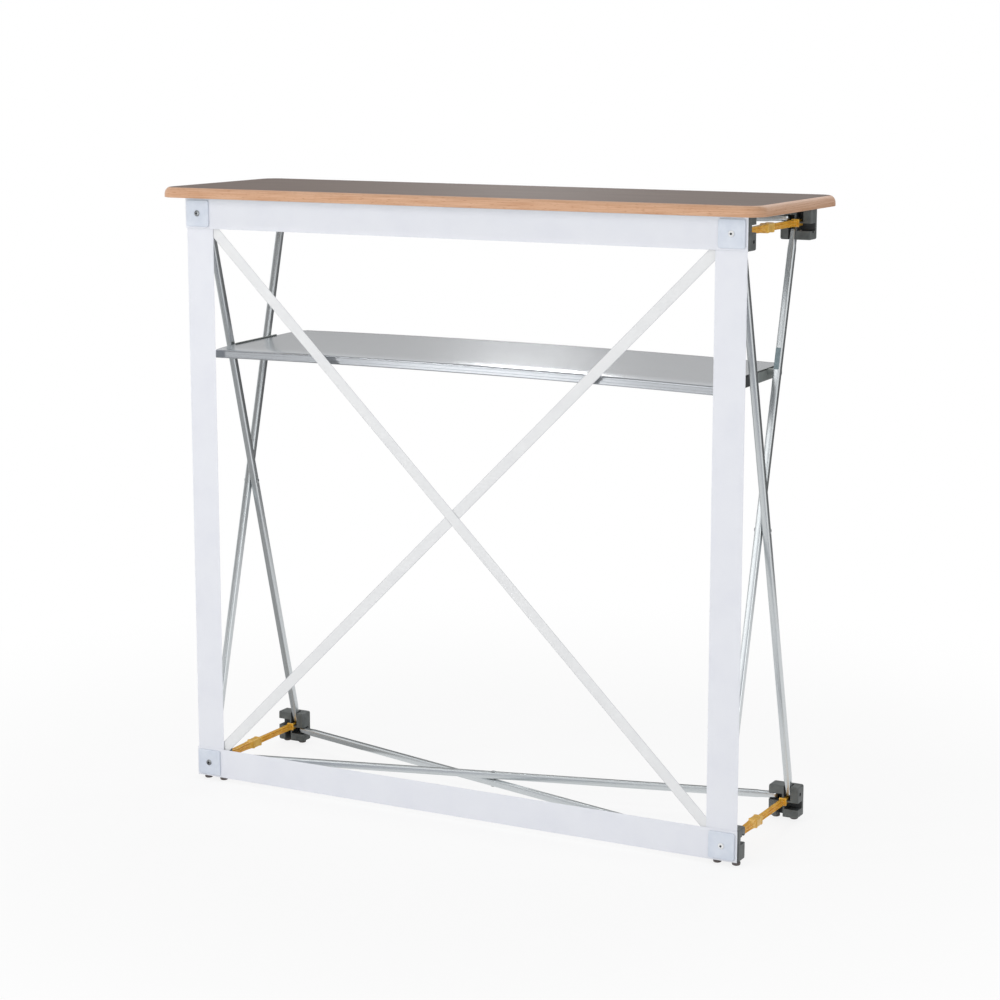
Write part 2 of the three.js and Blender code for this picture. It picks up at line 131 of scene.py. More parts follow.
# noise in grains of one size in mm, or drawn out into streaks of (length, width)
def addGrain(tree, source, sizeMm, detail, distortion=0.0):
    sizes = np.append(sizeMm, 1 / mm) if np.ndim(sizeMm) else np.full(3, sizeMm)
    sized = addNode(tree, "ShaderNodeMapping", {"Scale": tuple(1 / (sizes * mm))}, {"Vector": source})
    return addNode(tree, "ShaderNodeTexNoise", {"Scale": 1.0, "Detail": detail, "Distortion": distortion},
                   {"Vector": sized})


# lays a finish on its shader: dark to light between two stops of a pattern, an overlay of (colour, amount),
# and by a finer pattern a range of roughness and a bump of (strength, depth in mm)
def dressShader(tree, shader, look, pattern, stops, overlay=None, fine=None, rough=None, bump=None):
    tones = [(stops[0], look["dark"]), (stops[1], look["light"])]
    colour = addNode(tree, "ShaderNodeValToRGB", {"stops": tones}, {"Fac": pattern})
    if overlay:
        colour = addNode(tree, "ShaderNodeMixRGB", {"Color2": linearColour(overlay[0])},
                         {"Fac": overlay[1], "Color1": colour})
    links = {"Base Color": colour}
    if rough:
        links["Roughness"] = addNode(tree, "ShaderNodeMapRange", {"To Min": rough[0], "To Max": rough[1]},
                                     {"Value": fine})
    if bump:
        links["Normal"] = addNode(tree, "ShaderNodeBump", {"Strength": bump[0], "Distance": bump[1] * mm},
                                  {"Height": fine})
    linkInputs(tree, shader, links)


# lacquered beech lipping: fine straight grain along the edge with short dark flecks
beechSet = {"light": "DAB091", "dark": "C49472", "fleck": "A87450", "grainMm": (70, 1.6),
            "fleckMm": (9.1, 1.3)}


def makeBeech():
    look = beechSet
    tree, shader, uv = startMaterial("lacquered_beech", look["light"],
                                     {"IOR": 1.5, "Roughness": 0.36, "Specular IOR Level": 0.2}, "UV")
    grain = addGrain(tree, uv, look["grainMm"], 5.0)
    fleck = addNode(tree, "ShaderNodeMapRange", {"From Min": 0.6, "From Max": 0.74, "To Max": 0.55},
                    {"Value": addGrain(tree, uv, look["fleckMm"], 1.0)})
    dressShader(tree, shader, look, grain, (0.3, 0.62), (look["fleck"], fleck), fine=grain, rough=(0.3, 0.44),
                bump=(0.25, 0.2))


# melamine laminate with a printed grain, matt: taupe on the upper face, a pale backing sheet below
laminateSet = {
    "taupe_laminate": {"light": "766860", "dark": "695C55", "grainMm": (180, 4), "poreMm": 1.2},
    "backing_laminate": {"light": "E2E3E2", "dark": "D8D9D8", "grainMm": (60, 6), "poreMm": 1.2}}


def makeLaminate(name, look):
    tree, shader, place = startMaterial(name, look["light"],
                                        {"IOR": 1.5, "Roughness": 0.6, "Specular IOR Level": 0.12})
    grain = addGrain(tree, place, look["grainMm"], 6.0, 0.4)
    pore = addGrain(tree, place, look["poreMm"], 2.0)
    dressShader(tree, shader, look, grain, (0.35, 0.65), fine=pore, rough=(0.52, 0.68), bump=(0.15, 0.1))


# glass-filled nylon, ABS and rubber, moulded: matt spark-eroded skin with faint flow clouds.
# The slot walls of the hubs have a darker tone of their own, painted shade for the shadow deep in the slots
mouldedKeys = ("light", "dark", "cloudMm", "gritMm", "roughness")
mouldedSet = {name: dict(zip(mouldedKeys, values)) for name, *values in (
    ("hub_nylon", "636766", "505453", 14, 0.9, 0.5),
    ("slot_nylon", "404446", "333638", 8, 0.6, 0.55),
    ("black_nylon", "2B2E31", "1F2224", 6, 0.6, 0.5),
    ("end_cap_nylon", "8B918F", "7F8583", 12, 0.9, 0.45),
    ("slate_nylon", "7F9096", "74858B", 8, 0.7, 0.4),
    ("amber_nylon", "F6BF46", "E3A22C", 10, 0.8, 0.23),
    ("pale_amber_nylon", "F0C25C", "E4B048", 10, 0.8, 0.3),
    ("frosted_abs", "DCE2EC", "D3DAE6", 18, 0.9, 0.4),
    ("white_abs", "F0F1F2", "E6E8EA", 6, 0.6, 0.35),
    ("foot_rubber", "6B6361", "5B5452", 5, 0.7, 0.65))}


def makeMoulded(name, look):
    roughness = look["roughness"]
    tree, shader, place = startMaterial(name, look["light"], {"IOR": 1.53, "Roughness": roughness})
    cloud = addGrain(tree, place, look["cloudMm"], 3.0)
    grit = addGrain(tree, place, look["gritMm"], 2.0)  # finer than 0.2 mm, drawn coarser so that it shows
    dressShader(tree, shader, look, cloud, (0.35, 0.65), fine=grit,
                rough=(roughness - 0.07, roughness + 0.07), bump=(0.2, 0.1))


# aluminium, clear anodised, with soft bright reflections: tube drawn to fine lines along it, sheet rolled to
# wider and shorter ones
metalSet = {"drawn_aluminium": {"light": "D1D5D7", "dark": "C2C7C9", "lineMm": (160, 0.7), "roughness": 0.27},
            "rolled_aluminium": {"light": "ADB0B4", "dark": "A4A8AC", "lineMm": (90, 1.1), "roughness": 0.2}}


def makeDrawnMetal(name, look):
    roughness = look["roughness"]
    tree, shader, uv = startMaterial(name, look["light"], {"Metallic": 0.95, "Roughness": roughness}, "UV")
    lines = addGrain(tree, uv, look["lineMm"], 3.0)
    dressShader(tree, shader, look, lines, (0.35, 0.6), fine=lines,
                rough=(roughness - 0.07, roughness + 0.09), bump=(0.12, 0.1))


# zinc-plated steel: slightly cloudy plating
steelSet = {"light": "A9ACAE", "dark": "8C8F92", "cloudMm": 3}


def makeSteel():
    tree, shader, place = startMaterial("zinc_plated_steel", steelSet["light"],
                                        {"Metallic": 1.0, "Roughness": 0.33})
    cloud = addGrain(tree, place, steelSet["cloudMm"], 3.0)
    dressShader(tree, shader, steelSet, cloud, (0.35, 0.65), fine=cloud, rough=(0.26, 0.42))


# woven polyester: warp and weft threads as two crossed sine ridges, h = sin(u) * sin(v), on the band's map.
# The threads are about 0.4 mm, drawn coarser so that they show. A selvedge starts at edgeMm from the middle,
# past the half width of the strips, so that only the straps have one
wovenSet = {
    "woven_band": {"light": "E9EBF1", "dark": "E3E5ED", "threadMm": 1.1, "cloudMm": 60, "edgeMm": 40},
    "strap_webbing": {"light": "EAEBEC", "dark": "E3E4E6", "threadMm": 1.4, "cloudMm": 45, "edgeMm": 7.6}}
selvedgeSet = {"colour": "A9ACB0", "wideMm": 0.7, "share": 0.75}


def makeWoven(name, look):
    tree, shader, uv = startMaterial(name, look["light"],
                                     {"IOR": 1.5, "Roughness": 0.72, "Sheen Weight": 0.1}, "UV")
    turns = math.pi / (look["threadMm"] * mm)
    parts = addNode(tree, "ShaderNodeSeparateXYZ", links={"Vector": uv}).outputs
    ridges = {}
    for number, axis in enumerate("XY"):
        phase = addNode(tree, "ShaderNodeMath", {"operation": "MULTIPLY", 1: turns}, {0: parts[axis]})
        ridges[number] = addNode(tree, "ShaderNodeMath", {"operation": "SINE"}, {0: phase})
    weave = addNode(tree, "ShaderNodeMath", {"operation": "MULTIPLY"}, ridges)
    height = addNode(tree, "ShaderNodeMapRange", {"From Min": -1.0}, {"Value": weave})
    cloud = addNode(tree, "ShaderNodeMath", {"operation": "MULTIPLY_ADD", 1: 0.35},
                    {0: height, 2: addGrain(tree, uv, look["cloudMm"], 4.0)})
    # the selvedge is bound tighter and looks darker
    fromMiddle = addNode(tree, "ShaderNodeMath", {"operation": "ABSOLUTE"}, {0: parts["Y"]})
    edge = look["edgeMm"] * mm
    bound = addNode(tree, "ShaderNodeMapRange",
                    {"From Min": edge, "From Max": edge + selvedgeSet["wideMm"] * mm,
                     "To Max": selvedgeSet["share"]}, {"Value": fromMiddle})
    dressShader(tree, shader, look, cloud, (0.35, 0.75), (selvedgeSet["colour"], bound), fine=height,
                bump=(0.2, 0.2))


# the glue line between the lipping and the laminate: hardened glue, unevenly stained
glueSet = {"middle": "8A5F4A", "dark": "7E5541", "light": "986B54", "stainMm": 9}


def makeGlueLine():
    tree, shader, place = startMaterial("glue_line", glueSet["middle"], {"IOR": 1.5, "Roughness": 0.5})
    dressShader(tree, shader, glueSet, addGrain(tree, place, glueSet["stainMm"], 3.0), (0.3, 0.7))


makeBeech()
makeGlueLine()
makeSteel()
for makeFinish, looks in ((makeLaminate, laminateSet), (makeMoulded, mouldedSet), (makeDrawnMetal, metalSet),
                          (makeWoven, wovenSet)):
    for finishName, finishLook in looks.items():
        makeFinish(finishName, finishLook)
print("materials made")


# marks edges sharper than an angle and shades the rest smooth
def shadeByAngle(mesh, degrees):
    mesh.shade_smooth()
    mesh.set_sharp_from_angle(angle=math.radians(degrees))


# points[row, column] as quads that close round the columns, with one face over each end row;
# the map holds the metres along the rows and round the columns
def skinObject(name, points, along, around, finishOfRow=None, sharpAt=35):
    rows, columns = points.shape[:2]
    row, column = np.meshgrid(np.arange(rows - 1), np.arange(columns), indexing="ij")
    cornerRow = np.stack([row, row, row + 1, row + 1], -1).reshape(-1, 4)
    cornerColumn = np.stack([column, column + 1, column + 1, column], -1).reshape(-1, 4)
    quads = cornerRow * columns + cornerColumn % columns
    ends = np.stack([np.arange(columns)[::-1], (rows - 1) * columns + np.arange(columns)])
    mesh = bpy.data.meshes.new(name)
    mesh.from_pydata(points.reshape(-1, 3).tolist(), [], quads.tolist() + ends.tolist())
    quadMap = np.stack([along[cornerRow], around[cornerColumn]], -1).reshape(-1, 2)
    endRow = np.repeat([0, rows - 1], columns)
    endMap = np.stack([along[endRow], around[np.concatenate([ends[0], np.arange(columns)])]], -1)
    uvLayer = mesh.uv_layers.new(name="map")
    uvLayer.data.foreach_set("uv", np.concatenate([quadMap, endMap]).ravel())
    if finishOfRow is not None:
        perFace = np.concatenate([np.repeat(finishOfRow, columns), [finishOfRow[0], finishOfRow[-1]]])
        mesh.polygons.foreach_set("material_index", perFace.astype(np.int32))
    work = bmesh.new()
    work.from_mesh(mesh)
    bmesh.ops.recalc_face_normals(work, faces=work.faces)
    work.to_mesh(mesh)
    work.free()
    shadeByAngle(mesh, sharpAt)
    return addObject(name, mesh)


# running length of a polyline, from 0, with the way back to its start at the end when it is closed
def runLength(line, closed):
    steps = np.diff(np.concatenate([line, line[:1]]) if closed else line, axis=0)
    return np.concatenate([[0], np.cumsum(np.linalg.norm(steps, axis=1))])


# rounded rectangle of half sizes a and b: corner centres plus r times (cos, sin), any number of rows at once
def roundedRing(a, b, r, arcSteps):
    turn = np.linspace(0, math.pi / 2, arcSteps)
    angle = np.concatenate([turn + k * math.pi / 2 for k in range(4)])
    signU = np.repeat([1, -1, -1, 1], arcSteps)
    signV = np.repeat([1, 1, -1, -1], arcSteps)
    a, b, r = (np.atleast_1d(np.asarray(value, float))[:, None] for value in (a, b, r))
    return np.stack([signU * (a - r) + r * np.cos(angle), signV * (b - r) + r * np.sin(angle)], -1)


# a stepped block: rounded rings at levels along the first axis, each drawn in by its inset.
# A lift, where there is one, gives the height to add at each y
def steppedObject(name, centre, axes, halves, level, inset, corner, arcSteps=5, finishOfRow=None, sharpAt=30,
                  lift=None):
    ring = roundedRing(halves[0] - inset, halves[1] - inset, corner, arcSteps)
    points = centre + level[:, None, None] * axes[0] + ring[..., :1] * axes[1] + ring[..., 1:] * axes[2]
    if lift:
        points[..., 2] += lift(points[..., 1])
    along = runLength(np.stack([inset, level], -1), False)
    return skinObject(name, points, along, runLength(ring[np.argmin(inset)], True), finishOfRow, sharpAt)


# a profile of (radius, height) in mm turned round an axis through a point
def turnedObject(name, profile, centre, axis, sides, finishOfRow=None, sharpAt=35):
    profile = np.asarray(profile, float) * mm
    first = np.roll(axis, 1)
    second = np.cross(axis, first)
    angle = np.linspace(0, 2 * math.pi, sides, endpoint=False)
    spoke = np.cos(angle)[:, None] * first + np.sin(angle)[:, None] * second
    points = profile[:, :1, None] * spoke + profile[:, 1:, None] * axis + np.asarray(centre)
    around = np.linspace(0, 2 * math.pi * profile[:, 0].max(), sides + 1)
    return skinObject(name, points, runLength(profile, False), around, finishOfRow, sharpAt)


# takes a turned bore out of a piece, by the sizes in the piece's own set
def cutBore(piece, centre, axis, look):
    profile = [(look["boreMm"], reach) for reach in (-look["boreReachMm"], look["boreReachMm"])]
    cutter = turnedObject("bore", profile, centre, axis, look["boreSides"])
    modifier = piece.modifiers.new("cut", "BOOLEAN")
    modifier.object = cutter
    modifier.solver = "EXACT"
    bpy.context.view_layer.update()
    evaluated = piece.evaluated_get(bpy.context.evaluated_depsgraph_get())
    mesh = bpy.data.meshes.new_from_object(evaluated)
    piece.modifiers.clear()
    piece.data = mesh
    bpy.data.objects.remove(cutter)
    shadeByAngle(mesh, look["sharpAt"])


# puts a piece on its CAD body in its node's place, with its finishes by name
def fitPiece(piece, node, slot, *finishes):
    for finish in finishes:
        piece.data.materials.append(materialOf[finish])
    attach(piece, bodyOf[node])
    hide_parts(node)


def centreOf(node):
    low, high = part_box(node)
    return np.array((low + high) / 2)


def boxMm(node):
    return [np.array(corner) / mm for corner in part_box(node)]


# exchanges the two axes of a piece's map
def swapMap(piece):
    layer = piece.data.uv_layers["map"]
    values = np.empty(2 * len(layer.data), np.float32)
    layer.data.foreach_get("uv", values)
    layer.data.foreach_set("uv", values.reshape(-1, 2)[:, ::-1].ravel())


# top board: rings of the rounded outline stepped inwards and upwards over a quarter-ellipse round-over
boardSet = {"cornerMm": 30, "leastCornerMm": 2, "overInMm": 9, "overTallMm": 11, "arrisMm": 0.8,
            "faceInMm": 20, "glueTurn": (80, 85), "roundSteps": 10, "arcSteps": 16, "sharpAt": 25}


def makeBoard():
    s = boardSet
    low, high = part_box("tabletop")
    half = np.array((high - low) / 2)
    tall = 2 * half[2]
    base = centreOf("tabletop") - half[2] * zAxis
    overIn, overTall = s["overInMm"] * mm, s["overTallMm"] * mm
    arris, faceIn = s["arrisMm"] * mm, s["faceInMm"] * mm
    glueFrom, glueTo = s["glueTurn"]
    sweep = np.radians(np.concatenate([np.linspace(0, glueFrom, s["roundSteps"]), [glueTo, 90]]))
    inset = np.concatenate([[faceIn, arris, 0.3 * arris, 0], overIn * (1 - np.cos(sweep)), [overIn + faceIn]])
    level = np.concatenate([[0, 0, 0.3 * arris, arris], tall - overTall + overTall * np.sin(sweep), [tall]])
    corner = np.maximum(s["cornerMm"] * mm - inset, s["leastCornerMm"] * mm)
    # rows from the underside up: backing, beech, one row of glue line, then laminate
    finishOfRow = np.zeros(len(inset) - 1)
    finishOfRow[0] = 3
    finishOfRow[-3:] = (2, 1, 1)
    board = steppedObject("top_board", base, (zAxis, xAxis, yAxis), half, level, inset, corner, s["arcSteps"],
                          finishOfRow, s["sharpAt"])
    swapMap(board)  # grain runs along the edge, so the map's first axis is the way round
    fitPiece(board, "tabletop", "tabletop_board", "lacquered_beech", "taupe_laminate", "glue_line",
             "backing_laminate")


makeBoard()
print("top board made")


# hubs: the moulded block with broken edges and painted shade on its slot walls
hubSet = {"edgeMm": 0.6, "edgeSegments": 2, "edgeFrom": 40, "sharpAt": 30, "slotFromMm": 6, "mergeMm": 0.005,
          "flatTurn": 1}


# a copy of a node's mesh with its double points merged and its flat faces whole
def mergedCopy(node, name):
    mesh = frame["nodes"][node].data.copy()
    mesh.name = name
    for attribute in [a for a in mesh.attributes if a.name in ("custom_normal", "sharp_edge", "sharp_face")]:
        mesh.attributes.remove(attribute)
    mesh.materials.clear()
    work = bmesh.new()
    work.from_mesh(mesh)
    bmesh.ops.remove_doubles(work, verts=work.verts, dist=hubSet["mergeMm"] * mm)
    bmesh.ops.dissolve_limit(work, angle_limit=math.radians(hubSet["flatTurn"]), verts=work.verts,
                             edges=work.edges)
    work.to_mesh(mesh)
    work.free()
    return addObject(name, mesh)


def readRows(items, key):
    values = np.zeros(3 * len(items))
    items.foreach_get(key, values)
    return values.reshape(-1, 3)


# slot walls get the second finish, a painted shade: faces that lie deeper than slotFromMm behind the box side
# they look at
def paintSlotShade(mesh):
    points, centre, normal = (readRows(items, key) for items, key in (
        (mesh.vertices, "co"), (mesh.polygons, "center"), (mesh.polygons, "normal")))
    side = np.where(normal > 0, points.max(0), points.min(0))
    depth = (np.abs(normal) * np.abs(side - centre)).sum(1)
    mesh.polygons.foreach_set("material_index", (depth > hubSet["slotFromMm"] * mm).astype(np.int32))


def makeHub(name):
    node = "hub_" + name
    hub = mergedCopy(node, node + "_moulding")
    shadeByAngle(hub.data, hubSet["sharpAt"])
    bevel = hub.modifiers.new("edges", "BEVEL")
    bevel.width = hubSet["edgeMm"] * mm
    bevel.segments = hubSet["edgeSegments"]
    bevel.limit_method = "ANGLE"
    bevel.angle_limit = math.radians(hubSet["edgeFrom"])
    bevel.harden_normals = True
    fitPiece(hub, node, "hub_plastic", "hub_nylon", "slot_nylon")
    # painted shade on the slot walls
    paintSlotShade(hub.data)


# rubber caps over the two round feet of a lower hub, one under each lug beside its slot: a rounded cup, its
# profile in (radius, height)
footSet = {"slotMm": 10.9, "staggerMm": 6.0, "depthMm": 7, "sides": 28,
           "profile": [(0.05, 0), (4.9, 0), (5.8, 0.6), (6.2, 1.8), (6.2, 4.2), (5.6, 5.2), (0.05, 5.3)]}


def makeFeet(name):
    node = "hub_" + name
    low, high = boxMm(node)
    way = -1 if "front" in name else 1
    faceY = low[1] if way < 0 else high[1]
    slotMiddle = (low[0] + high[0]) / 2 - way * footSet["staggerMm"]
    slotEdges = slotMiddle - footSet["slotMm"] / 2, slotMiddle + footSet["slotMm"] / 2
    for word, x in (("left", (low[0] + slotEdges[0]) / 2), ("right", (high[0] + slotEdges[1]) / 2)):
        place = np.array([x, faceY - way * footSet["depthMm"], low[2]]) * mm
        foot = turnedObject(f"foot_cap_{name}_{word}", footSet["profile"], place, zAxis, footSet["sides"])
        fitPiece(foot, node, "hub_plastic", "foot_rubber")


# pivot pins: turned, with chamfered ends and a centre mark
pinSet = {"radiusMm": 2.5, "chamferMm": 0.5, "markMm": 0.9, "pointMm": 0.05, "sides": 20}


def makePin(kind, name, axis):
    node = kind + "_pin_" + name
    low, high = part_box(node)
    half = (high - low).dot(axis) / 2 / mm
    r, c, m = pinSet["radiusMm"], pinSet["chamferMm"], pinSet["markMm"]
    end = [(pinSet["pointMm"], half - 0.5 * m), (m, half), (r - c, half), (r, half - c)]
    profile = end + [(radius, -height) for radius, height in reversed(end)]
    pin = turnedObject(node + "_turned", profile, centreOf(node), axis, pinSet["sides"])
    fitPiece(pin, node, "steel", "zinc_plated_steel")


for depthName in depthNames:
    for cornerName in cornerNames:
        hubName = depthName + "_" + cornerName
        makeHub(hubName)
        makePin("side", hubName, xAxis)
        makePin("level", hubName, zAxis)
        if "bottom" in cornerName:
            makeFeet(hubName)
print("hubs and pins made")


# scissor bars: a rounded square section swept from pin to pin. With t the smoothstep over the taper,
# the half thickness is tongue + t * (tube - tongue)
barSet = {"tubeMm": 5.25, "tongueMm": 4.6, "tongueRunMm": 16, "taperEndMm": 28, "cornerMm": 2.1,
          "staggerMm": 6.0, "boreMm": 3.1, "boreReachMm": 7.25, "boreSides": 20, "noseTurn": 0.06,
          "endSteps": 9, "taperSteps": 9, "arcSteps": 5, "sharpAt": 28}


def makeBar(node, startPin, endPin, axis):
    s = barSet
    start, end = centreOf(startPin), centreOf(endPin)
    middle, length = (start + end) / 2, np.linalg.norm(end - start)
    lengthwise = (end - start) / length
    crosswise = np.cross(lengthwise, axis)
    halfLength = length / 2
    tube, tongue, corner = s["tubeMm"] * mm, s["tongueMm"] * mm, s["cornerMm"] * mm
    nose = halfLength + tube * np.cos(np.linspace(s["noseTurn"], math.pi / 2, s["endSteps"]))
    taper = halfLength - np.linspace(s["tongueRunMm"], s["taperEndMm"], s["taperSteps"]) * mm
    station = np.concatenate([nose, taper, -taper[::-1], -nose[::-1]])
    inward = halfLength - np.abs(station)
    t = np.clip((inward / mm - s["tongueRunMm"]) / (s["taperEndMm"] - s["tongueRunMm"]), 0, 1)
    t = t * t * (3 - 2 * t)
    halfThick = tongue + t * (tube - tongue)
    halfTall = tube * np.sqrt(np.clip(1 - np.clip(-inward / tube, 0, 1) ** 2, 0, 1))
    fitting = np.minimum(np.minimum(corner, 0.9 * halfTall), 0.5 * halfThick)
    ring = roundedRing(halfThick, halfTall, fitting, s["arcSteps"])
    points = middle + station[:, None, None] * lengthwise + ring[..., :1] * axis + ring[..., 1:] * crosswise
    around = runLength(roundedRing(tube, tube, corner, s["arcSteps"])[0], True)
    bar = skinObject(node + "_tube", points, halfLength - station, around, sharpAt=s["sharpAt"])
    for centre in (start, middle, end):
        cutBore(bar, centre, axis, s)
    fitPiece(bar, node, "aluminium", "drawn_aluminium")


# rivets: a shank between two domed heads, each dome a quarter ellipse over a short rim
rivetSet = {"shankMm": 2.6, "headMm": 3.6, "headInMm": 11.55, "headTallMm": 1.3, "rimMm": 0.4,
            "topTurn": 0.04, "domeSteps": 8, "sides": 28}


def makeRivet(word, axis):
    s = rivetSet
    node = "rivet_" + word
    sweep = np.linspace(s["topTurn"], math.pi / 2, s["domeSteps"])
    height = s["headInMm"] + s["rimMm"] + (s["headTallMm"] - s["rimMm"]) * np.cos(sweep)
    dome = list(zip(s["headMm"] * np.sin(sweep), height))
    dome += [(s["headMm"], s["headInMm"]), (s["shankMm"], s["headInMm"])]
    profile = dome + [(r, -h) for r, h in reversed(dome)]
    rivet = turnedObject(node + "_turned", profile, centreOf(node), axis, s["sides"])
    fitPiece(rivet, node, "steel", "zinc_plated_steel")


crossedPairs = (("front", "back"), ("back", "front"))
for sideName in sideNames:
    for first, second in crossedPairs:
        makeBar(f"{sideName}_bar_{first}_top", f"side_pin_{second}_{sideName}_bottom",
                f"side_pin_{first}_{sideName}_top", xAxis)
    makeRivet(sideName, xAxis)
for levelName in levelNames:
    for first, second in crossedPairs:
        makeBar(f"{levelName}_bar_{first}_left", f"level_pin_{first}_left_{levelName}",
                f"level_pin_{second}_right_{levelName}", zAxis)
    makeRivet(levelName, zAxis)
print("bars and rivets made")


# snap arms: a squircle r = h / (|cos|^n + |sin|^n)^(1/n) carried along Y, narrowed across X, with two grooves
# down both sides. The squareness n is boxy, soft, crisp or that of a circle
armSet = {"blockMm": 4.8, "blockRunMm": 16, "neckMm": 4.2, "wideMm": 5.4, "socketMm": 6.6, "ridgeMm": 0.5,
          "collarFromMm": -8, "collarToMm": 15, "boreMm": 5.4, "boreRunMm": 9, "rodMm": 4.9, "rodNarrow": 0.6,
          "grooveMm": 2.1, "grooveAt": 0.4, "grooveTurn": 0.17, "flangeMm": 5.9, "flangeThickMm": 2.4,
          "flangeGapMm": 0.3, "boxy": 9, "soft": 8, "crisp": 12, "circle": 2, "columns": 96, "sharpAt": 32}


# stations hold (y, half size, squareness, groove depth, share kept across X) in mm; what a station leaves out
# is soft, without a groove and at full width
def makeArm(node, stations, finishOfRow):
    s = armSet
    plain = (s["soft"], 0, 1)
    columns = zip(*(station + plain[len(station) - 2:] for station in stations))
    y, half, squareness, groove, narrow = (np.array(column, float)[:, None] for column in columns)
    angle = np.linspace(0, 2 * math.pi, s["columns"], endpoint=False)
    power = np.abs(np.cos(angle)) ** squareness + np.abs(np.sin(angle)) ** squareness
    fromSide = (angle + math.pi / 2) % math.pi - math.pi / 2
    fromGroove = (np.abs(fromSide) - s["grooveAt"]) / s["grooveTurn"]
    hollow = groove * np.clip(1.5 * np.exp(-fromGroove ** 2), 0, 1)
    radius = half / power ** (1 / squareness)
    across = (radius * narrow * np.cos(angle) - hollow * np.sign(np.cos(angle))) * mm
    upward = radius * np.sin(angle) * mm
    centre = centreOf(node)
    points = np.stack([centre[0] + across, np.broadcast_to(y * mm, across.shape), centre[2] + upward], -1)
    along = runLength(np.concatenate([y, half], 1) * mm, False)
    around = np.linspace(0, 2 * math.pi * s["wideMm"] * mm, s["columns"] + 1)
    arm = skinObject(node + "_moulding", points, along, around, np.array(finishOfRow), s["sharpAt"])
    fitPiece(arm, node, "amber_plastic", "amber_nylon", "pale_amber_nylon")


def makeArms(cornerName):
    s = armSet
    socketNode, rodNode = "arm_socket_" + cornerName, "arm_rod_" + cornerName
    front, back = boxMm(socketNode)[0][1], boxMm(rodNode)[1][1]
    blockEnd = front + s["blockRunMm"]
    block, neck, wide, collar, rod, flange = (
        s[key] for key in ("blockMm", "neckMm", "wideMm", "socketMm", "rodMm", "flangeMm"))
    boxy, soft, crisp, circle, groove, slim = (
        s[key] for key in ("boxy", "soft", "crisp", "circle", "grooveMm", "rodNarrow"))
    ridge = collar + s["ridgeMm"]
    begin, end = s["collarFromMm"], s["collarToMm"]
    socket = [(front, block - 0.5, boxy), (front, block - 0.3, boxy), (front + 0.5, block, boxy),
              (blockEnd - 0.5, block, boxy), (blockEnd, block - 0.4, boxy),
              (blockEnd + 1.2, neck, soft, 0, 0.8), (blockEnd + 4, neck, soft, groove, 0.8),
              (begin - 14, wide, soft, groove, 0.85), (begin - 9, wide + 0.2, soft, 0, 0.9),
              (begin - 1, wide + 0.6, soft, 0, 0.95)]
    amberRows = len(socket)
    # the collar: a ring ridge at each end and a plain waist
    for at in (begin, end - 4):
        socket += [(at, collar), (at + 0.5, ridge), (at + 2.7, ridge), (at + 3.2, collar)]
    socket += [(end - 0.5, collar), (end, collar - 0.5), (end, s["boreMm"], circle),
               (end - s["boreRunMm"], s["boreMm"], circle)]
    makeArm(socketNode, socket, [0] * (amberRows - 1) + [1] * (len(socket) - amberRows))
    rodFrom = boxMm(rodNode)[0][1]
    flangeTo = boxMm("hub_back_" + cornerName)[0][1] - s["flangeGapMm"]
    flangeFrom = flangeTo - s["flangeThickMm"]
    rodStations = [(rodFrom, rod - 0.9, circle, 0, slim)]
    rodStations += [(y, rod, soft, deep, slim) for y, deep in (
        (rodFrom + 0.9, 0), (end + 1, 0), (end + 4, groove), (flangeFrom - 6, groove), (flangeFrom - 3, 0),
        (flangeFrom, 0))]
    rodStations += [(flangeFrom, flange - 0.4, crisp), (flangeFrom + 0.4, flange, crisp),
                    (flangeTo - 0.4, flange, crisp), (flangeTo, flange - 0.4, crisp),
                    (flangeTo, block, boxy), (back - 0.5, block, boxy), (back, block - 0.4, boxy)]
    makeArm(rodNode, rodStations, [0] * 7 + [1] * 3 + [0] * 3)


# corner plates: rings of a rounded square stepped over a quarter-round bevel, with the screw's bore
plateSet = {"cornerMm": 3, "leastCornerMm": 0.4, "bevelMm": 1.1, "backEdgeMm": 0.2, "middle": 0.4,
            "boreMm": 2.6, "boreReachMm": 8, "boreSides": 24, "bevelSteps": 5, "arcSteps": 6, "sharpAt": 30}


def makePlate(cornerName):
    s = plateSet
    node = "corner_plate_" + cornerName
    low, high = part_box(node)
    half = (high[0] - low[0]) / 2
    bevel, backEdge, middle = s["bevelMm"] * mm, s["backEdgeMm"] * mm, s["middle"] * half
    sweep = np.linspace(0, math.pi / 2, s["bevelSteps"])
    inset = np.concatenate([[middle, backEdge, 0], bevel * (1 - np.cos(sweep)), [middle]])
    level = np.concatenate([[high[1], high[1], high[1] - backEdge], low[1] + bevel * (1 - np.sin(sweep)),
                            [low[1]]])
    corner = np.maximum(s["cornerMm"] * mm - inset, s["leastCornerMm"] * mm)
    centre = centreOf(node)
    plate = steppedObject(node + "_moulding", centre * (1, 0, 1), (yAxis, xAxis, zAxis), (half, half), level,
                          inset, corner, s["arcSteps"], sharpAt=s["sharpAt"])
    cutBore(plate, centre, yAxis, s)
    fitPiece(plate, node, "plate_plastic", "frosted_abs")


# screws: a domed washer head with a dark socket, white on the right, and on the left plain steel as painted
# shade over the same white heads
screwSet = {"headMm": 4.6, "tallMm": 1.6, "domeShare": 0.75, "domeFrom": 0.25, "domeSteps": 7,
            "socketMm": 1.7, "socketDeepMm": 1.3, "rimMm": 0.25, "domeGapMm": 0.4, "shankMm": 2.0,
            "tipMm": 0.6, "sides": 32, "sharpAt": 30}


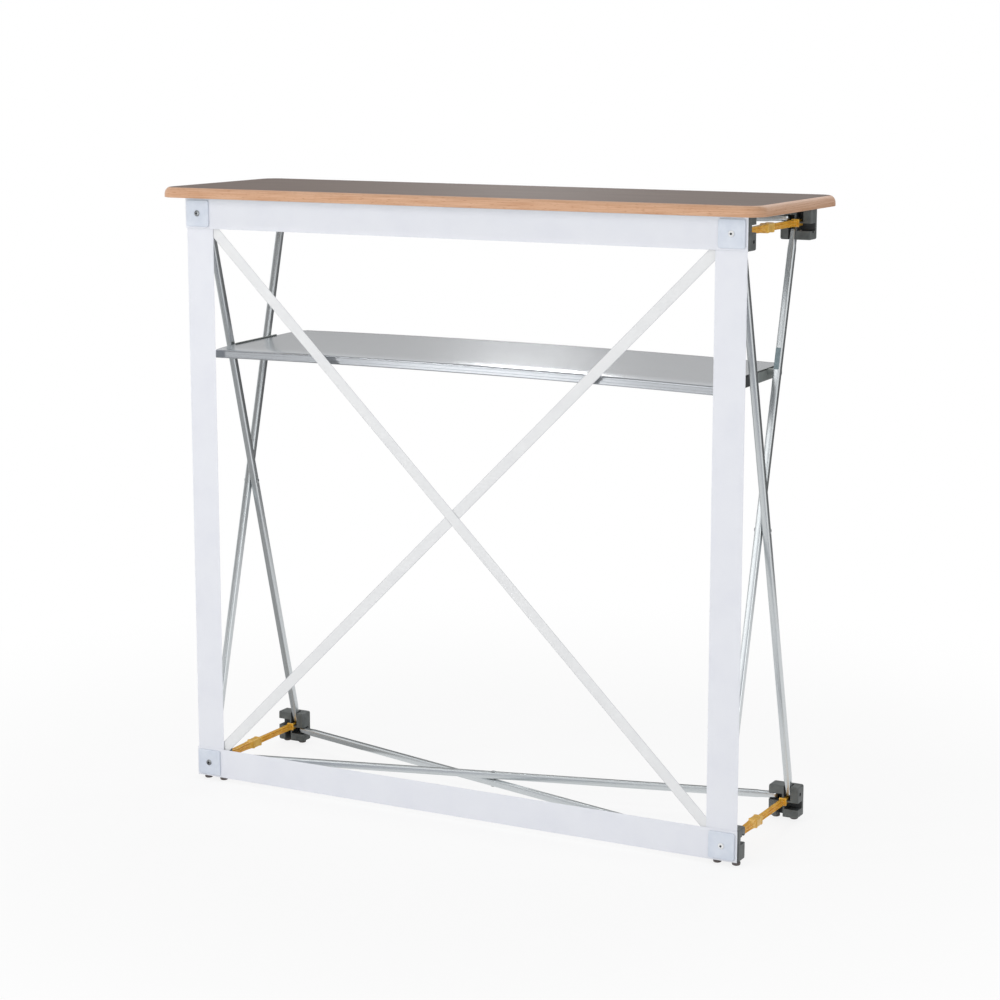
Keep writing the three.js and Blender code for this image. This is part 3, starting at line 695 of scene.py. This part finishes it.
def makeScrew(cornerName):
    s = screwSet
    node = "corner_screw_" + cornerName
    low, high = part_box(node)
    head, tall, socket, deep, shank, tip = (
        s[key] for key in ("headMm", "tallMm", "socketMm", "socketDeepMm", "shankMm", "tipMm"))
    length = (high[1] - low[1]) / mm
    sweep = np.linspace(s["domeFrom"], math.pi / 2, s["domeSteps"])
    dome = zip(head * np.sin(sweep), tall * s["domeShare"] * (1 - np.cos(sweep)))
    profile = [(0.1, deep), (socket, deep), (socket, 0.05), (socket + s["rimMm"], 0)]
    profile += [(r, h) for r, h in dome if r > socket + s["domeGapMm"]]
    profile += [(head, tall), (shank, tall), (shank, length - tip), (shank - tip, length)]
    finishOfRow = np.zeros(len(profile) - 1)
    finishOfRow[:2] = 2
    finishOfRow[-3:] = 1
    centre = centreOf(node)
    centre[1] = low[1]
    screw = turnedObject(node + "_turned", profile, centre, yAxis, s["sides"], finishOfRow, s["sharpAt"])
    # painted shade: the left heads, alike to the right ones, take plain steel instead of white
    headFinishShadedLeft = "zinc_plated_steel" if "left" in cornerName else "white_abs"
    fitPiece(screw, node, "steel", headFinishShadedLeft, "zinc_plated_steel", "black_nylon")


for cornerName in cornerNames:
    makeArms(cornerName)
    makePlate(cornerName)
    makeScrew(cornerName)
print("arms, plates and screws made")


# the side bars' lean at rest, from a lower front pin to an upper back pin, and the corner screws at the lower
# left and upper right
lowFront, highBack = centreOf("side_pin_front_left_bottom"), centreOf("side_pin_back_left_top")
restLean = math.atan2(highBack[1] - lowFront[1], highBack[2] - lowFront[2])
hubLow, hubHigh = centreOf("corner_screw_left_bottom"), centreOf("corner_screw_right_top")


# strips and straps: the section of each band, and its steps along the length
bandFormSet = {"columns": 25, "edgePower": 18, "hemMm": 3.2, "hemTurn": 0.03, "hemDeep": 0.35, "stepMm": 12,
               "rippleMm": 0.08, "waveMm": 210, "boreMm": 2.6, "boreReachMm": 30, "boreSides": 24,
               "sharpAt": 50}
strapFormSet = {**bandFormSet, "columns": 15, "edgePower": 10, "hemMm": 2.2, "hemTurn": 0.06, "hemDeep": 0.3,
                "rippleMm": 0.1}


# a flat band between two points: a thin lens-edged section, h = thickness / 2 * (1 - |u|^p), carried along,
# with a shallow sewn line near both edges and a faint ripple along the length
def makeBand(name, start, end, width, thickness, look):
    length = np.linalg.norm(end - start)
    lengthwise = (end - start) / length
    outwards = -yAxis
    crosswise = np.cross(lengthwise, outwards)
    u = np.sin(np.linspace(-math.pi / 2, math.pi / 2, look["columns"]))
    sewn = np.exp(-((np.abs(u) - 1 + look["hemMm"] * mm * 2 / width) / look["hemTurn"]) ** 2)
    h = thickness / 2 * (np.clip(1 - np.abs(u) ** look["edgePower"], 0, 1) - look["hemDeep"] * sewn)
    s = np.linspace(0, length, int(length / (look["stepMm"] * mm)) + 2)
    phase = s[:, None] * 2 * math.pi / (look["waveMm"] * mm) + 2 * u
    ripple = look["rippleMm"] * mm * np.sin(phase) * np.abs(u) ** 3
    across = np.concatenate([u, u[-2:0:-1]]) * width / 2
    lift = np.concatenate([h, -h[-2:0:-1]])
    rippleRound = np.concatenate([ripple, ripple[:, -2:0:-1]], 1)
    points = (start + s[:, None, None] * lengthwise + across[None, :, None] * crosswise
              + (lift + rippleRound)[..., None] * outwards)
    around = np.concatenate([across, across[:1]])
    return skinObject(name, points, s, around, sharpAt=look["sharpAt"])


# strips: stretched bands from corner to corner
def makeStrip(word, level):
    node = "strip_" + word
    low, high = (np.array(corner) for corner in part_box(node))
    along = 0 if level else 2
    start, end = (low + high) / 2, (low + high) / 2
    start[along], end[along] = low[along], high[along]
    width = (high - low)[2 - along]
    strip = makeBand(node + "_band", start, end, width, high[1] - low[1], bandFormSet)
    for cornerName in cornerNames:
        if word in cornerName:
            cutBore(strip, centreOf("corner_screw_" + cornerName), yAxis, bandFormSet)
    fitPiece(strip, node, "strip_tape", "woven_band")
    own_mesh(strip)


makeStrip("top", True)
makeStrip("bottom", True)
makeStrip("left", False)
makeStrip("right", False)


# crossed straps: webbing from corner to corner behind the strips
strapSet = {"widthMm": 17, "thickMm": 0.8, "setbackMm": 9}


def makeStrap(word, rise):
    node = "strap_" + word
    y = centreOf(node)[1]
    lowZ, highZ = hubLow[2], hubHigh[2]
    start = np.array([hubLow[0], y, lowZ if rise else highZ])
    end = np.array([hubHigh[0], y, highZ if rise else lowZ])
    axis = (end - start) / np.linalg.norm(end - start)
    setback = strapSet["setbackMm"] * mm
    strap = makeBand(node + "_webbing", start + setback * axis, end - setback * axis,
                     strapSet["widthMm"] * mm, strapSet["thickMm"] * mm, strapFormSet)
    fitPiece(strap, node, "strap_webbing", "strap_webbing")
    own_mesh(strap)


makeStrap("rising", True)
makeStrap("falling", False)
print("strips and straps made")


# shelf, in mm: a bowed sheet, a section of (y, z) points carried along X: rear skirt, top, a rounded nose
# with two shallow flutes, an inner return and the underside. Rear points follow the cut corners
shelfSet = {"left": -428, "right": 420, "proud": 1.2, "tall": 14.4, "wall": 1.4, "arch": 4.6, "backRise": 4.7,
            "rightDrop": 4.0, "cut": 14.1, "cutFrom": 30, "cutRun": 25, "bend": 3.0, "nose": 2.2, "heel": 1.6,
            "flute": 0.12, "slopeRun": 30, "slopeDrop": 1.7, "return": 9, "returnSlant": 0.6, "inner": 2,
            "hem": 5, "hemThick": 1.2, "hemEdge": 1.5, "steps": 90, "sharpAt": 40}
shelfLow, shelfHigh = boxMm("shelf")
shelfFront, shelfBack = shelfLow[1], shelfHigh[1]
shelfTop = shelfHigh[2] + shelfSet["proud"]


# height of the bowed sheet over a flat one: an arch 4t(1 - t) along X, a rise rearwards, a drop to the right
def shelfLift(x, y):
    t = (x - shelfSet["left"]) / (shelfSet["right"] - shelfSet["left"])
    across = (y - shelfFront) / (shelfBack - shelfFront)
    return shelfSet["arch"] * 4 * t * (1 - t) + shelfSet["backRise"] * across - shelfSet["rightDrop"] * t


def shelfSection():
    s = shelfSet
    front, back, top = shelfFront, shelfBack, shelfTop
    low = top - s["tall"]
    turn = np.linspace(0, math.pi / 2, 7)
    wall, bend, nose, heel, inner, hem = (s[key] for key in ("wall", "bend", "nose", "heel", "inner", "hem"))
    slopeFrom, returnTo, innerY = front + s["slopeRun"], front + s["return"], front + wall + inner
    rear = np.stack([back - bend + bend * np.cos(turn), top - bend + bend * np.sin(turn)], -1)
    # towards the front the top falls away along a parabola
    topY = np.concatenate([np.linspace(back - 3 * bend, slopeFrom, 20),
                           np.linspace(slopeFrom, front + nose + 1, 12)[1:]])
    fall = s["slopeDrop"] * np.clip((slopeFrom - topY) / s["slopeRun"], 0, 1) ** 2
    topRun = np.stack([topY, top - fall], -1)
    crest = top - s["slopeDrop"]
    overNose = np.stack([front + nose - nose * np.sin(turn), crest - nose + nose * np.cos(turn)], -1)
    down = np.linspace(0, 1, 25)[1:]
    faceFrom, faceTo = crest - nose, low + heel
    face = np.stack([front + s["flute"] * np.sin(2 * math.pi * down) ** 2,
                     faceFrom + (faceTo - faceFrom) * down], -1)
    under = np.stack([front + heel - heel * np.cos(turn), low + heel - heel * np.sin(turn)], -1)[1:]
    inside = np.array([[returnTo, low], [returnTo, low + wall], [innerY, low + wall + s["returnSlant"]],
                       [innerY, crest - wall - inner], [innerY + inner, crest - wall]])
    below = np.stack([np.linspace(slopeFrom, back - wall - 2 * inner, 24), np.full(24, top - wall)], -1)
    rearIn = np.array([[back - wall, top - wall - inner], [back - wall, low + inner],
                       [back - hem, low + s["hemThick"]], [back - hem, low], [back - s["hemEdge"], low],
                       [back, low + s["hemEdge"]]])
    return np.concatenate([rear, topRun, overNose, face, under, inside, below, rearIn])


def makeShelf():
    s = shelfSet
    section = shelfSection()
    x = np.linspace(s["left"], s["right"], s["steps"])
    x = np.sort(np.concatenate([x, [s["left"] + s["cut"], s["right"] - s["cut"]]]))[:, None]
    fromEnd = np.minimum(x - s["left"], s["right"] - x)
    drawn = np.clip(s["cut"] - fromEnd, 0, None)
    toRear = np.clip((section[:, 0] - (shelfBack - s["cutFrom"])) / s["cutRun"], 0, 1)
    y = section[:, 0] - drawn * toRear
    z = section[:, 1] + shelfLift(x, section[:, 0])
    points = np.stack([np.broadcast_to(x, y.shape), y, z], -1) * mm
    shelf = skinObject("shelf_sheet_metal", points, x[:, 0] * mm, runLength(section * mm, True),
                       sharpAt=s["sharpAt"])
    fitPiece(shelf, "shelf", "shelf_sheet", "rolled_aluminium")


# end walls, in mm: slabs that close the section, from a depth below the sheet to a lip above it.
# A slab has four rings, of which the outer two are drawn in to break its edges
outerRings = np.array([1, 0, 0, 1])
endSet = {"thick": 2.0, "corner": 1.2, "edge": 0.5, "frontGap": 1, "backGap": 0.6, "deep": 17.5,
          "leftDeep": 12.5, "leftLip": -0.8, "rightLip": 0.4, "lip": 2.2, "lipFrom": -56, "lipTo": 62,
          "lipDeep": 0.6, "blackTo": 20}


def makeShelfEnd(name, side, front, back, deep, lip, finish):
    outerX, inwards = shelfSet[side], 1 if side == "left" else -1
    thick, edge = endSet["thick"], endSet["edge"]
    centre = np.array([outerX, (front + back) / 2, shelfTop + (lip - deep) / 2]) * mm
    steps = np.array([0, edge, thick - edge, thick]) * mm
    halves = (back - front) / 2 * mm, (lip + deep) / 2 * mm
    wall = steppedObject(name, centre, (inwards * xAxis, yAxis, zAxis), halves, steps, edge * mm * outerRings,
                         endSet["corner"] * mm, lift=lambda y: shelfLift(outerX, y / mm) * mm)
    fitPiece(wall, "shelf", "shelf_sheet", finish)


def makeShelfEnds():
    s = endSet
    front, back = shelfFront + shelfSet["return"] + s["frontGap"], shelfBack - shelfSet["cut"] - s["backGap"]
    black, deep, lip = s["blackTo"], s["deep"], s["rightLip"]
    makeShelfEnd("shelf_end_left", "left", front, back, s["leftDeep"], s["leftLip"], "end_cap_nylon")
    makeShelfEnd("shelf_lip_left", "left", s["lipFrom"], s["lipTo"], s["lipDeep"], s["lip"], "end_cap_nylon")
    makeShelfEnd("shelf_end_right_front", "right", front, black, deep, lip, "black_nylon")
    makeShelfEnd("shelf_end_right", "right", black, back, deep, lip, "end_cap_nylon")


# hooks: slabs along X that bear behind the side bars
hookSet = {"tallMm": 9, "deepMm": 12, "cornerMm": 1.6, "edgeMm": 0.6, "gapMm": 0.6, "overlapMm": 1,
           "biteMm": 1.75}


def barYAt(z, first, second):
    start, end = centreOf(f"side_pin_{first}_right_bottom"), centreOf(f"side_pin_{second}_right_top")
    return start[1] + (z - start[2]) / (end[2] - start[2]) * (end[1] - start[1])


def makeHooks():
    tall, deep, corner, edge, gap, overlap, bite = (value * mm for value in hookSet.values())
    stagger, tube = barSet["staggerMm"] * mm, barSet["tubeMm"] * mm
    halfAcross = tube / math.cos(restLean) + gap
    topZ = shelfHigh[2] * mm
    restFrom = barYAt(topZ - tall, "back", "front") + halfAcross
    clipFrom = barYAt(topZ, "front", "back") + halfAcross
    leftBar, rightBar = hubLow[0], hubHigh[0]
    leftEnd, rightEnd = shelfSet["left"] * mm + overlap, shelfSet["right"] * mm - overlap
    for word, fromX, toX, frontY in (("rest", leftBar + stagger + tube - bite, leftEnd, restFrom),
                                     ("left", leftBar - stagger, leftEnd, clipFrom),
                                     ("right", rightEnd, rightBar - stagger, clipFrom)):
        centre = np.array([0, frontY + deep / 2, topZ - tall / 2])
        steps = np.array([fromX, fromX + edge, toX - edge, toX])
        hook = steppedObject("shelf_hook_" + word, centre, (xAxis, yAxis, zAxis), (deep / 2, tall / 2), steps,
                             edge * outerRings, corner)
        fitPiece(hook, "shelf", "shelf_sheet", "end_cap_nylon")


# shelf stop: a rounded pad on the front face of the right back bar, just above the shelf
stopSet = {"wideMm": 7.6, "asideMm": -0.6, "longMm": 32, "thickMm": 0.9, "gapMm": 0.1, "cornerMm": 1.2,
           "edgeMm": 0.3, "fromMm": 696}


def makeShelfStop():
    s = stopSet
    start, end = centreOf("side_pin_front_right_bottom"), centreOf("side_pin_back_right_top")
    lengthwise = (end - start) / np.linalg.norm(end - start)
    centreZ = (s["fromMm"] + s["longMm"] / 2) * mm
    middle = start + lengthwise * (centreZ - start[2]) / lengthwise[2] + s["asideMm"] * mm * xAxis
    steps = barSet["tubeMm"] + np.array([s["gapMm"], s["gapMm"], s["thickMm"] - s["edgeMm"], s["thickMm"]])
    halves = s["wideMm"] / 2 * mm, s["longMm"] / 2 * mm
    stop = steppedObject("shelf_stop_pad", middle, (np.cross(xAxis, lengthwise), xAxis, lengthwise), halves,
                         steps * mm, s["edgeMm"] * mm * outerRings, s["cornerMm"] * mm)
    fitPiece(stop, "right_bar_back_top", "hub_plastic", "slate_nylon")


makeShelf()
makeShelfEnds()
makeHooks()
makeShelfStop()
print("shelf made")


# stage: a pale floor that turns to plain white away from the object, soft lamps, a white surround
stageSet = {"floor": "F4F4F4", "floorHalf": 14, "floorDropMm": 0.2, "fadeFrom": 0.5, "fadeTo": 1.5,
            "nearWhite": 0.84, "surround": 0.55, "aim": (0, 0, 0.5)}
# soft lamps as (place, size, watts, seen in reflections)
lampSet = [((-1.1, -3.8, 1.6), 1.8, 45, False), ((3.0, -2.6, 0.7), 1.2, 14, True),
           ((0.4, 3.0, 3.4), 2.4, 30, True), ((-1.74, -1.8, 3.2), 0.4, 10, True),
           ((-1.1, 2.2, 1.72), 0.3, 2.8, True)]
# sheets that glow only in reflections, painted reflections with no lamp in them, as (corner, one side, other
# side, level):
# a dark one behind the object and a dim one above it, dark ones before it to the left and on the floor there,
# two bright ones in front
reflectionSheetSet = [((-2.2, 1.6, 0), (4.4, 0, 0), (0, 0, 0.85), 0.1),
           ((-2.2, 1.62, 0.85), (4.4, 0, 0), (0, 0, 0.42), 0.66),
           ((-3.4, -2.4, 0.8), (2.05, 0, 0), (0, 0, 1.8), 0.16),
           ((-1.8, -1.6, 0.001), (1.5, 0, 0), (0, 1.85, 0), 0.42),
           ((-1.15, -2.45, 0.8), (0.8, 0, 0), (0, 0, 1.1), 2.2),
           ((-1.52, -2.46, 0.02), (0.62, 0, 0), (0, 0, 0.74), 3.0)]


# 1 for a ray from the camera or off a glossy or clear surface, else 0
def seenRay(tree):
    path = addNode(tree, "ShaderNodeLightPath").outputs
    first = addNode(tree, "ShaderNodeMath", {"operation": "MAXIMUM"},
                    {0: path["Is Camera Ray"], 1: path["Is Glossy Ray"]})
    return addNode(tree, "ShaderNodeMath", {"operation": "MAXIMUM"},
                   {0: first, 1: path["Is Transmission Ray"]})


# one square face from a corner and its two sides, for the stage alone
def stageSheet(name, corner, wide, tall, finish):
    corner, wide, tall = (np.array(value, float) for value in (corner, wide, tall))
    mesh = bpy.data.meshes.new(name)
    mesh.from_pydata([corner, corner + wide, corner + wide + tall, corner + tall], [], [(0, 1, 2, 3)])
    mesh.materials.append(materialOf[finish])
    sheet = addObject(name, mesh)
    return sheet


def makeSurround():
    world = bpy.data.worlds.new("surround")
    world.use_nodes = True
    bpy.context.scene.world = world
    tree = world.node_tree
    strength = addNode(tree, "ShaderNodeMapRange", {"To Min": stageSet["surround"], "To Max": 1.0},
                       {"Value": seenRay(tree)})
    background = tree.nodes["Background"]
    background.inputs["Color"].default_value = (1, 1, 1, 1)
    linkInputs(tree, background, {"Strength": strength})


def makeFloor():
    s = stageSet
    tree, shader, place = startMaterial("pale_floor", s["floor"],
                                        {"Roughness": 0.9, "Specular IOR Level": 0.0})
    distance = addNode(tree, "ShaderNodeVectorMath", {"operation": "LENGTH"}, {0: place})
    fade = addNode(tree, "ShaderNodeMapRange",
                   {"From Min": s["fadeFrom"], "From Max": s["fadeTo"], "To Min": s["nearWhite"],
                    "interpolation_type": "SMOOTHSTEP"}, {"Value": distance.outputs["Value"]})
    amount = addNode(tree, "ShaderNodeMath", {"operation": "MULTIPLY"}, {0: fade, 1: seenRay(tree)})
    white = addNode(tree, "ShaderNodeEmission", {"Color": (1, 1, 1, 1), "Strength": 1.0})
    mixed = addNode(tree, "ShaderNodeMixShader", links={0: amount, 1: shader, 2: white})
    linkInputs(tree, tree.nodes["Material Output"], {"Surface": mixed})
    half = s["floorHalf"]
    floor = stageSheet("floor", (-half, -half, 0), (2 * half, 0, 0), (0, 2 * half, 0), "pale_floor")
    floor.location.z = -s["floorDropMm"] * mm


# a sheet that glows at its level and shows only in reflections: a painted reflection
def makeReflectionSheet(number, corner, wide, tall, level):
    finish = f"painted_reflection_{number}"
    startMaterial(finish, "000000", {"Roughness": 1.0, "Specular IOR Level": 0.0,
                                     "Emission Color": (1, 1, 1, 1), "Emission Strength": level})
    reflectionSheet = stageSheet(f"reflection_sheet_{number}", corner, wide, tall, finish)
    reflectionSheet.visible_camera = reflectionSheet.visible_diffuse = reflectionSheet.visible_transmission = reflectionSheet.visible_shadow = False


def makeLamp(number, place, size, watts, mirrored):
    data = bpy.data.lights.new(f"soft_lamp_{number}", "AREA")
    data.size = size
    data.energy = watts
    light = addObject(f"soft_lamp_{number}", data)
    light.location = place
    aim = np.array(stageSet["aim"]) - np.array(place)
    light.rotation_euler = (math.atan2(math.hypot(aim[0], aim[1]), -aim[2]), 0,
                            math.atan2(aim[1], aim[0]) - math.pi / 2)
    light.visible_camera = False
    light.visible_glossy = mirrored


makeSurround()
makeFloor()
for number, reflectionSheet in enumerate(reflectionSheetSet):
    makeReflectionSheet(number, *reflectionSheet)
for number, lamp in enumerate(lampSet):
    makeLamp(number, *lamp)
bpy.context.scene.view_settings.view_transform = "Standard"
print("stage made")
